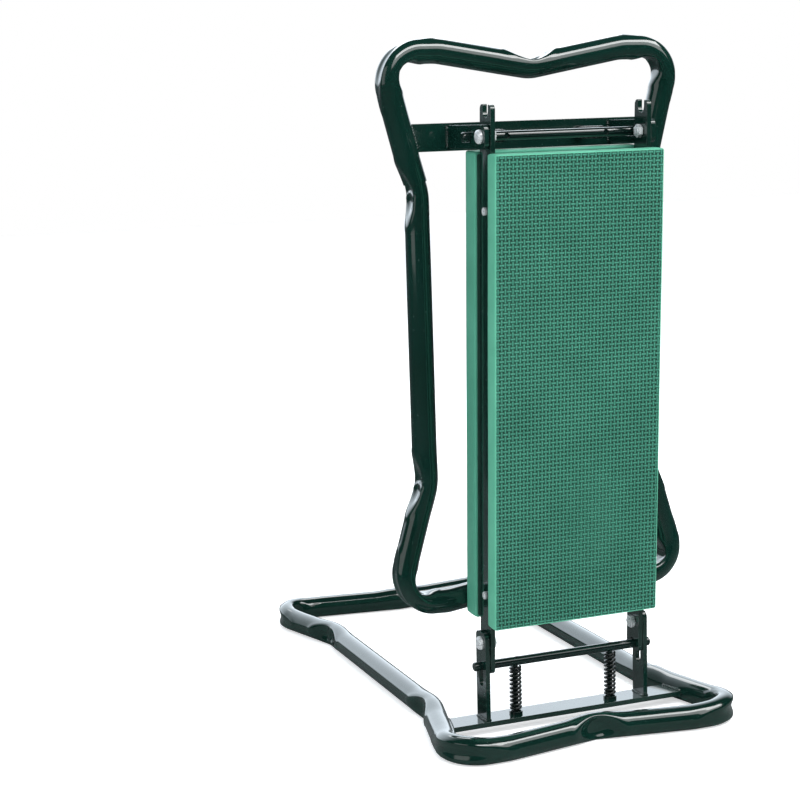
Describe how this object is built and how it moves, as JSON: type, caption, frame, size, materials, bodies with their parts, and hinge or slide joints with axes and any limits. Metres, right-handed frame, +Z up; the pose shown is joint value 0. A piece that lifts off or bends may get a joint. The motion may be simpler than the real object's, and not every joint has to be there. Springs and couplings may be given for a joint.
{
  "type": "garden kneeler seat",
  "caption": "Folding garden kneeler that turns over into a low seat: foam pads on both faces of a steel frame, with tube legs that fold flat and lock upright.",
  "frame": {"origin": "middle of the object's footprint, on the floor that the lower leg lies on", "axes": "+Z up along the standing seat, +X along the hinge axes to the seat's right as the sitting pad is faced, +Y from the sitting pad towards the kneeling pad"},
  "size_m": [0.2878, 0.5044, 0.6044],
  "materials": {
    "leg_tube": "glossy dark green paint over bent steel tube",
    "leg_bars": "glossy dark green paint over flat steel bar",
    "seat_bars": "glossy dark green paint over flat steel bar",
    "lock_steel": "near-black green paint, worn where it slides",
    "spring_steel": "black oiled spring wire",
    "zinc_fasteners": "bright zinc plate",
    "nylon_washers": "black nylon",
    "backing_board": "dark green moulded board",
    "pad_foam": "green closed-cell foam with an embossed basket weave"
  },
  "bodies": {
    "lower_leg": {"lower_leg_loop": "leg_tube", "lower_crossmember": "leg_bars", "lower_bracket_left": "leg_bars", "lower_bracket_right": "leg_bars", "lower_guide_pins": "lock_steel", "lower_springs": "spring_steel", "lower_spring_collars": "lock_steel", "lower_pivot_bolts": "zinc_fasteners", "lower_pivot_nuts": "zinc_fasteners", "lower_pivot_washers": "nylon_washers"},
    "lower_lock": {"lower_lock_bar": "lock_steel"},
    "seat": {"seat_rail_left": "seat_bars", "seat_rail_right": "seat_bars", "seat_crossbar_lower": "seat_bars", "seat_crossbar_upper": "seat_bars", "seat_side_bolts": "zinc_fasteners", "sitting_panel": "backing_board", "kneeling_panel": "backing_board", "panel_rivets": "zinc_fasteners", "sitting_pad": "pad_foam", "kneeling_pad": "pad_foam"},
    "upper_leg": {"upper_leg_loop": "leg_tube", "upper_crossmember": "leg_bars", "upper_bracket_left": "leg_bars", "upper_bracket_right": "leg_bars", "upper_guide_pins": "lock_steel", "upper_springs": "spring_steel", "upper_spring_collars": "lock_steel", "upper_pivot_bolts": "zinc_fasteners", "upper_pivot_nuts": "zinc_fasteners", "upper_pivot_washers": "nylon_washers"},
    "upper_lock": {"upper_lock_bar": "lock_steel"}
  },
  "joints": [
    {"name": "seat_fold", "type": "hinge", "parent": "lower_leg", "child": "seat", "pos_m": [0, -0.16775, 0.0815], "axis": [-1, 0, 0], "range_deg": [0, 87], "deforming": ["lower_lock_bar"]},
    {"name": "upper_leg_fold", "type": "hinge", "parent": "seat", "child": "upper_leg", "pos_m": [0, -0.18618, 0.52111], "axis": [1, 0, 0], "range_deg": [0, 94], "deforming": ["upper_lock_bar"]},
    {"name": "lower_lock_slide", "type": "slide", "parent": "lower_leg", "child": "lower_lock", "axis": [0, 0, -1], "range_m": [0, 0.014], "stiffness_N_per_m": 900, "springref_m": -0.01, "deforming": ["lower_springs"]},
    {"name": "upper_lock_slide", "type": "slide", "parent": "upper_leg", "child": "upper_lock", "axis": [0, 0.9998, -0.0175], "range_m": [0, 0.014], "stiffness_N_per_m": 900, "springref_m": -0.01, "deforming": ["upper_springs"]}
  ]
}
